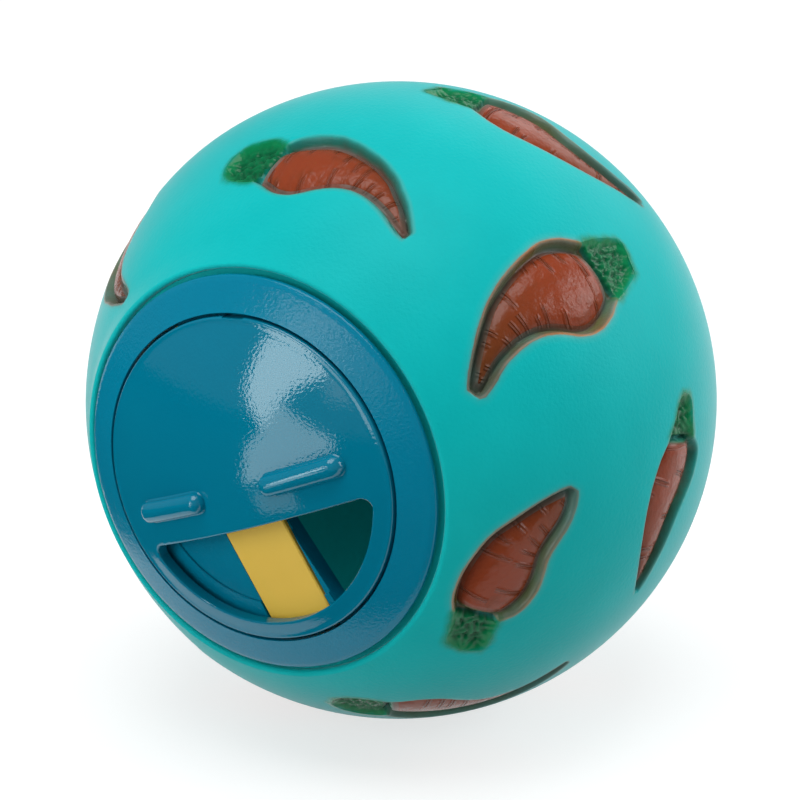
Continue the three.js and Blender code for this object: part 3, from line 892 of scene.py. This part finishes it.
# Vinyl plastisol, rotationally cast in an etched mould: a waxy skin with a fine grain. The carrots
# are sprayed through a mask, so their paint thins out over the rims and misses the deep corners.
vinyl = {
    "teal": "#04b1b2",
    "tealPale": "#0ebaba",
    "rimPaint": "#b0682a",
    "wallPaint": "#7a4a0e",
    "moatPaint": "#6c5c14",
    "mistRim": "#109c90",
    # With little mist the recess wall and moat are a dark teal green: thin paint mist and painted
    # shade.
    "mistWall": "#08786a",
    "mistMoat": "#1c6850",
    "bodyEdge": "#68341a",
    "bodyPaint": "#8c3a1c",
    "bodyDark": "#50300f",
    "leafPaint": "#047a48",
    # The leaf's valleys are darkened towards this colour: painted shade.
    "leafValleyShade": "#044028",
    "roughness": 0.42,
    "paintRoughness": 0.26,
    "leafRoughness": 0.18,
    "shine": 0.06,
    "paintShine": 0.29,
    "leafShine": 0.2,
    "spotSize": 2.0833,
    "patchSize": 6.6667,
    "dentHeight": 0.22,
    "grainSize": 0.42,
    "grainHeight": 0.042,
    "veinSize": 1.1111,
    "veinHeight": 0.07,
    "creaseSpacing": 1.75,
    "creaseDepth": 0.28,
    "creaseLip": 0.17,
}


def vinylMaterial():
    v = vinyl
    material, tree = newMaterial("rotocastVinyl")
    where = addNode(tree, "TexCoord")["Object"]
    marks = addNode(tree, "Attribute", attribute_name="carrotMarks")["Vector"]
    across, depth, mist = (
        addNode(tree, "Attribute", attribute_name=name)["Fac"]
        for name in ("carrotAcross", "carrotDepth", "carrotMist")
    )
    rimIn, leafIn, along = addNode(tree, "SeparateXYZ", {0: marks})[:3]

    # Spots and patches of uneven spray, the mould's grain and the leaves' veins.
    noises = []
    for size, detail, coarse, twist in (
        ("spotSize", 3.0, 0.5, 0.0),
        ("patchSize", 2.0, 0.5, 0.0),
        ("grainSize", 2.0, 0.6, 0.0),
        ("veinSize", 2.0, 0.5, 0.8),
    ):
        values = {"Vector": where, "Scale": 1000 / v[size], "Detail": detail}
        values.update({"Roughness": coarse, "Distortion": twist})
        noises.append(addNode(tree, "TexNoise", values)[0])
    spots, patches, grain, veins = noises
    ragged = addNode(tree, "Math", {0: spots, 1: 0.3, 2: rimIn}, operation="MULTIPLY_ADD")[0]

    # Teal, paler where the skin is thinner.
    tones = {0: patches, 6: srgb(v["teal"]), 7: srgb(v["tealPale"])}
    teal = addNode(tree, "Mix", tones, data_type="RGBA")[2]

    # Paint from 1.4 mm outside the rim to 1.8 mm inside it, and 0.15 mm for what the spots add on
    # average. First its colours, with little mist and with much, and then how much of it stays.
    rimPart = addNode(tree, "MapRange", {0: ragged, 1: -1.25, 2: 1.95})[0]
    # With little mist the wall and moat colours are partly painted shade that darkens the recess.
    ramps = []
    for names, places in (
        ("mistRim mistWall mistMoat bodyEdge bodyPaint", (0.43, 0.48, 0.56, 0.62, 0.69)),
        ("rimPaint wallPaint moatPaint bodyEdge bodyPaint", (0.44, 0.49, 0.58, 0.67, 0.77)),
    ):
        stops = [(at, srgb(v[name])) for at, name in zip(places, names.split())]
        ramps.append(addNode(tree, "ValToRGB", {0: rimPart}, stops=stops)[0])
    for shares in (
        ((0.3, 0), (0.43, 0.5), (0.5, 0.8), (0.58, 1)),
        ((0.1, 0), (0.28, 0.05), (0.38, 0.25), (0.42, 0.95), (0.76, 1)),
    ):
        stops = [(at, grey(share)) for at, share in shares]
        ramps.append(addNode(tree, "ValToRGB", {0: rimPart}, stops=stops)[0])
    colours = addNode(tree, "Mix", {0: mist, 6: ramps[0], 7: ramps[1]}, data_type="RGBA")[2]
    cover = addNode(tree, "Mix", {0: mist, 2: ramps[2], 3: ramps[3]}, data_type="FLOAT")[0]
    thin = addNode(tree, "MapRange", {0: patches, 1: 0.3, 2: 0.7, 3: 0.75})[0]
    covered = addNode(tree, "Math", {0: cover, 1: thin}, operation="MULTIPLY")[0]
    whole = addNode(tree, "MapRange", {0: rimIn, 1: 0.9, 2: 1.3})[0]
    paintShare = addNode(tree, "Math", {0: covered, 1: whole}, operation="MAXIMUM")[0]

    # Creases run across the body from either side, each with its own place and length, and some
    # are left out. A crease is a groove between two lips, and painted shade darkens its groove.
    wave = addNode(tree, "Math", {0: patches, 1: 0.5, 2: along}, operation="MULTIPLY_ADD")[0]
    steps = addNode(tree, "Math", {0: wave, 1: v["creaseSpacing"]}, operation="DIVIDE")[0]
    cell = addNode(tree, "Math", {0: steps}, operation="FLOOR")[0]
    part = addNode(tree, "Math", {0: steps}, operation="FRACT")[0]
    bellySide = addNode(tree, "Math", {0: across, 1: 0.0}, operation="GREATER_THAN")[0]
    key = addNode(tree, "CombineXYZ", {0: cell, 1: bellySide, 2: mist})[0]
    dice = addNode(tree, "TexWhiteNoise", {"Vector": key}, noise_dimensions="3D")["Color"]
    diceX, diceY, diceZ = addNode(tree, "SeparateXYZ", {0: dice})[:3]
    middle = addNode(tree, "MapRange", {0: diceX, 3: 0.25, 4: 0.75})[0]
    away = addNode(tree, "Math", {0: part, 1: middle}, operation="SUBTRACT")[0]
    gap = addNode(tree, "Math", {0: away}, operation="ABSOLUTE")[0]
    bands = []
    for start, end in ((0.02, 0.11), (0.1, 0.26)):
        values = {0: gap, 1: start, 2: end, 3: 1.0, 4: 0.0}
        bands.append(addNode(tree, "MapRange", values, interpolation_type="SMOOTHSTEP")[0])
    groove, lip = bands
    reach = addNode(tree, "MapRange", {0: diceY, 3: 1.9, 4: 5.0})[0]
    beyond = addNode(tree, "Math", {0: reach, 1: rimIn}, operation="SUBTRACT")[0]
    inward = addNode(tree, "MapRange", {0: beyond, 1: 0.0, 2: 0.7})[0]
    outward = addNode(tree, "MapRange", {0: rimIn, 1: 0.85, 2: 1.25})[0]
    present = addNode(tree, "Math", {0: diceZ, 1: 0.36}, operation="GREATER_THAN")[0]
    span = addNode(tree, "Math", {0: inward, 1: outward}, operation="MULTIPLY")[0]
    shown = addNode(tree, "Math", {0: span, 1: present}, operation="MULTIPLY")[0]
    cut = addNode(tree, "Math", {0: groove, 1: -v["creaseDepth"]}, operation="MULTIPLY")[0]
    shape = addNode(tree, "Math", {0: lip, 1: v["creaseLip"], 2: cut}, operation="MULTIPLY_ADD")[0]
    crease = addNode(tree, "Math", {0: shape, 1: shown}, operation="MULTIPLY")[0]
    grooveShade = addNode(tree, "Math", {0: groove, 1: shown}, operation="MULTIPLY")[0]

    # The body darkens from 7 mm behind the shoulder to the tip and in blotches, and painted shade
    # darkens its creases.
    tip = addNode(tree, "MapRange", {0: along, 1: 7.0, 2: 20.0, 4: 0.75})[0]
    soot = addNode(tree, "MapRange", {0: mist, 3: 0.45})[0]
    tipShare = addNode(tree, "Math", {0: tip, 1: soot}, operation="MULTIPLY")[0]
    creaseShadeShare = addNode(tree, "Math", {0: grooveShade, 1: 0.36}, operation="MULTIPLY")[0]
    blotch = addNode(tree, "MapRange", {0: spots, 1: 0.52, 2: 0.75, 4: 0.3})[0]
    tipTintAndCreaseShade = addNode(tree, "Math", {0: tipShare, 1: creaseShadeShare}, operation="MAXIMUM")[0]
    darkShare = addNode(tree, "Math", {0: tipTintAndCreaseShade, 1: blotch}, operation="MAXIMUM")[0]
    tones = {0: darkShare, 6: colours, 7: srgb(v["bodyDark"])}
    bodyPaint = addNode(tree, "Mix", tones, data_type="RGBA")[2]
    painted = addNode(tree, "Mix", {0: paintShare, 6: teal, 7: bodyPaint}, data_type="RGBA")[2]

    # Leaf paint: a soft edge, and painted shade that darkens the valleys most from 1.1 mm under the
    # skin.
    valleyShade = addNode(tree, "MapRange", {0: depth, 1: 0.35, 2: 1.1})[0]
    tones = {0: valleyShade, 6: srgb(v["leafPaint"]), 7: srgb(v["leafValleyShade"])}
    leafColour = addNode(tree, "Mix", tones, data_type="RGBA")[2]
    leafShake = addNode(tree, "Math", {0: spots, 1: 1.2, 2: leafIn}, operation="MULTIPLY_ADD")[0]
    edge = {0: leafShake, 1: -0.5, 2: 0.95}
    leafShare = addNode(tree, "MapRange", edge, interpolation_type="SMOOTHSTEP")[0]
    colour = addNode(tree, "Mix", {0: leafShare, 6: painted, 7: leafColour}, data_type="RGBA")[2]

    # Relief finer than the mesh, in millimetres: mould grain, leaf veins, dents and creases.
    grainPart = addNode(tree, "Math", {0: grain, 1: v["grainHeight"]}, operation="MULTIPLY")[0]
    veinShare = addNode(tree, "Math", {0: veins, 1: leafShare}, operation="MULTIPLY")[0]
    veined = {0: veinShare, 1: v["veinHeight"], 2: grainPart}
    fine = addNode(tree, "Math", veined, operation="MULTIPLY_ADD")[0]
    dents = addNode(tree, "Math", {0: spots, 1: whole}, operation="MULTIPLY")[0]
    dented = {0: dents, 1: v["dentHeight"], 2: fine}
    rough = addNode(tree, "Math", dented, operation="MULTIPLY_ADD")[0]
    height = addNode(tree, "Math", {0: rough, 1: crease}, operation="ADD")[0]
    bump = addNode(tree, "Bump", {"Height": height, "Strength": 1.0, "Distance": mm})[0]

    # From the bare skin to the body's paint, and then to the leaf's.
    finish = []
    for bare, paint, leaf in (
        ("roughness", "paintRoughness", "leafRoughness"),
        ("shine", "paintShine", "leafShine"),
    ):
        body = addNode(tree, "MapRange", {0: paintShare, 3: v[bare], 4: v[paint]})[0]
        finish.append(addNode(tree, "MapRange", {0: leafShare, 3: body, 4: v[leaf]})[0])
    roughness, shine = finish
    lacquer = addNode(tree, "Math", {0: paintShare, 1: leafShare}, operation="MAXIMUM")[0]
    waxy = addNode(tree, "MapRange", {0: lacquer, 3: 0.25, 4: 0.04})[0]
    bloom = addNode(tree, "MapRange", {0: lacquer, 3: 0.27, 4: 0.0})[0]
    shader = addNode(
        tree,
        "BsdfPrincipled",
        {
            "Base Color": colour,
            "Roughness": roughness,
            "Normal": bump,
            "IOR": 1.5,
            "Specular IOR Level": shine,
            "Sheen Weight": bloom,
            "Sheen Roughness": 0.35,
            "Subsurface Weight": waxy,
            "Subsurface Scale": 2.6 * mm,
            "Subsurface Radius": (0.3, 1.0, 1.0),
        },
    )
    addNode(tree, "OutputMaterial", {"Surface": shader[0]})
    return material


# ABS, injection moulded, with flow marks that shift its tone a little. The flange is etched, so
# that a lamp's image breaks up on it. The dial is polished, with a slight orange peel. The strip
# is satin.
etchedBlue = {
    "tones": ("#007694", "#00809e"),
    "roughness": 0.15,
    "shine": 0.24,
    "peelSize": 0.34,
    "peelDetail": 1.5,
    "peelHeight": 0.048,
    "flowSize": 16.6667,
    "flowDetail": 3.0,
}
polishedBlue = {
    **etchedBlue,
    "tones": ("#00708c", "#007995"),
    "roughness": 0.06,
    "shine": 0.45,
    "peelHeight": 0.014,
}
satinYellow = {
    "tones": ("#f4c240", "#facb4c"),
    "roughness": 0.5,
    "shine": 0.5,
    "peelSize": 0.3,
    "peelDetail": 2.0,
    "peelHeight": 0.008,
    "flowSize": 11.1111,
    "flowDetail": 2.0,
}


def absMaterial(name, look):
    material, tree = newMaterial(name)
    where = addNode(tree, "TexCoord")["Object"]
    noises = []
    for kind in ("peel", "flow"):
        values = {"Vector": where, "Scale": 1000 / look[kind + "Size"]}
        values["Detail"] = look[kind + "Detail"]
        noises.append(addNode(tree, "TexNoise", values)[0])
    peel, flow = noises
    height = addNode(tree, "Math", {0: peel, 1: look["peelHeight"]}, operation="MULTIPLY")[0]
    bump = addNode(tree, "Bump", {"Height": height, "Strength": 1.0, "Distance": mm})[0]
    tones = {0: flow, 6: srgb(look["tones"][0]), 7: srgb(look["tones"][1])}
    tone = addNode(tree, "Mix", tones, data_type="RGBA")[2]
    shader = addNode(
        tree,
        "BsdfPrincipled",
        {
            "Base Color": tone,
            "Roughness": look["roughness"],
            "Normal": bump,
            "IOR": 1.54,
            "Specular IOR Level": look["shine"],
        },
    )
    addNode(tree, "OutputMaterial", {"Surface": shader[0]})
    return material


def dress(obj, material):
    obj.data.materials.clear()
    obj.data.materials.append(material)


dress(vinylBall, vinylMaterial())
dress(flangeCollar, absMaterial("etchedBlueAbs", etchedBlue))
dialBlue = absMaterial("polishedBlueAbs", polishedBlue)
dress(dialDisc, dialBlue)
dress(yellowStrip, absMaterial("satinYellowAbs", satinYellow))
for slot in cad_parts["dial_clip"].material_slots:
    slot.material = dialBlue
print("materials done")

# Lights. A panel has a name, its azimuth and elevation from the dial (0 where the dial faces,
# growing to the right and up), its distance, its width and height, and its radiance.
panels = [
    ("overhead", 20, 80, 650, 520, 520, 3.9),
    ("rimRight", 125, 22, 620, 360, 300, 4.0),
    ("fillLeft", -95, 35, 620, 360, 360, 1.7),
    ("backdrop", 168, 30, 750, 900, 420, 1.3),
    ("ringGlow", -12, 30, 440, 190, 60, 4.2),
    ("ringGlowRight", 6, 18, 440, 150, 140, 0.9),
]
# Reflector cards, for the C-shaped reflection in the dial: a name, a distance, a radiance, and the
# corners' azimuths and elevations. The lower ones stand closer, which keeps them above the floor.
cards = [
    ("cardHigh", 440, 6.5, [(-27, 21), (-18, 23), (-5, 17.6), (-3.5, 16), (-12, 11.4), (-17.7, 5.5),
        (-22.7, -2.5), (-28.3, 3.6), (-29.4, 7.2)]),
    ("cardLow", 110, 3.3, [(-15.7, 9.8), (-8, 5.6), (4.4, 0.9), (4.5, -2), (-7.4, -9), (-21.6, -16),
        (-29.2, -18.3), (-27.5, -7), (-21.4, 0.4)]),
    ("cardDim", 75, 1.2, [(-25.4, -20.4), (-9.6, -17.6), (-6.1, -23.6), (-22.6, -27.4)]),
]
cardTint = (0.88, 1, 1, 1)
dialCentre = ballCentre + Vector((0, -35 * mm, 0))


def wayFromDial(azimuth, elevation):
    a, e = math.radians(azimuth), math.radians(elevation)
    return Vector((math.sin(a) * math.cos(e), -math.cos(a) * math.cos(e), math.sin(e)))


def addPanel(name, azimuth, elevation, distance, width, height, radiance):
    way = wayFromDial(azimuth, elevation)
    data = bpy.data.lights.new(name, "AREA")
    data.shape = "RECTANGLE"
    data.size, data.size_y = width * mm, height * mm
    data.energy = radiance * math.pi * width * height * mm * mm
    obj = newObject(name, data)
    obj.location = dialCentre + way * distance * mm
    obj.rotation_euler = way.to_track_quat("Z", "Y").to_euler()
    obj.visible_camera = False
    return obj


for panel in panels:
    addPanel(*panel).visible_glossy = panel[0] != "fillLeft"  # it only fills, and isn't mirrored


def addSheet(name, points, shader, **settings):
    mesh = bpy.data.meshes.new(name)
    mesh.from_pydata(points, [], [tuple(range(len(points)))])
    obj = newObject(name, mesh)
    obj.visible_camera = False
    material, tree = newMaterial(name)
    light = addNode(tree, shader, settings)[0]
    addNode(tree, "OutputMaterial", {"Surface": light})
    dress(obj, material)
    return obj


for name, distance, radiance, corners in cards:
    points = [dialCentre + wayFromDial(*corner) * distance * mm for corner in corners]
    addSheet(name, points, "Emission", Color=cardTint, Strength=radiance)

# A black flag on the floor, out of the camera's view, keeps the floor out of the dial's
# reflections. It casts no shadow, and the light that the floor bounces passes it.
flagOutline = [(2500, -46), (2500, -2500), (-2500, -2500), (-2500, -60), (-120, 20), (-62, -20),
    (-32, -50), (-20, -54), (0, -46)]
flagPoints = [(x * mm, y * mm, mm) for x, y in flagOutline]
flag = addSheet("blackFlag", flagPoints, "BsdfDiffuse", Color=grey(0.01))
flag.visible_shadow = False
flag.visible_diffuse = False

# What soaks through the translucent wall and lights the ball's inside.
lamp = {"power": 0.0018, "radius": 8, "place": (-4, -2, -20)}
inside = bpy.data.lights.new("throughWall", "POINT")
inside.energy = lamp["power"]
inside.shadow_soft_size = lamp["radius"] * mm
insideLamp = newObject("throughWall", inside)
insideLamp.location = ballCentre + Vector(lamp["place"]) * mm
insideLamp.visible_camera = False

# A plain white sweep: seen straight on, in a mirror or through a hole it is paper white and keeps
# the ball's soft shadow, and for other light it is a grey that bounces less.
sweep = {"size": 6000, "drop": 0.02, "bounce": 0.5, "seen": 0.38, "glow": 0.7}


def layFloor():
    deselectAll()
    bpy.ops.mesh.primitive_plane_add(size=sweep["size"] * mm, location=(0, 0, -sweep["drop"] * mm))
    floor = bpy.context.object
    floor.name = "studio_floor"
    material, tree = newMaterial("paperSweep")
    diffuse = addNode(tree, "BsdfDiffuse", {"Color": grey(sweep["bounce"])})[0]
    seen = addNode(tree, "BsdfDiffuse", {"Color": grey(sweep["seen"])})[0]
    glow = addNode(tree, "Emission", {"Color": grey(1), "Strength": sweep["glow"]})[0]
    white = addNode(tree, "AddShader", {0: seen, 1: glow})[0]
    path = addNode(tree, "LightPath")
    clear = path["Is Camera Ray"]
    for ray in ("Is Glossy Ray", "Is Transmission Ray"):
        clear = addNode(tree, "Math", {0: clear, 1: path[ray]}, operation="MAXIMUM")[0]
    mixed = addNode(tree, "MixShader", {0: clear, 1: diffuse, 2: white})[0]
    addNode(tree, "OutputMaterial", {"Surface": mixed})
    dress(floor, material)


layFloor()
world = bpy.data.worlds.new("studio")
bpy.context.scene.world = world
world.use_nodes = True
skyColour, skyStrength = world.node_tree.nodes["Background"].inputs[:2]
skyColour.default_value = (0.95, 0.97, 1, 1)
skyStrength.default_value = 0.2
print("stage done")
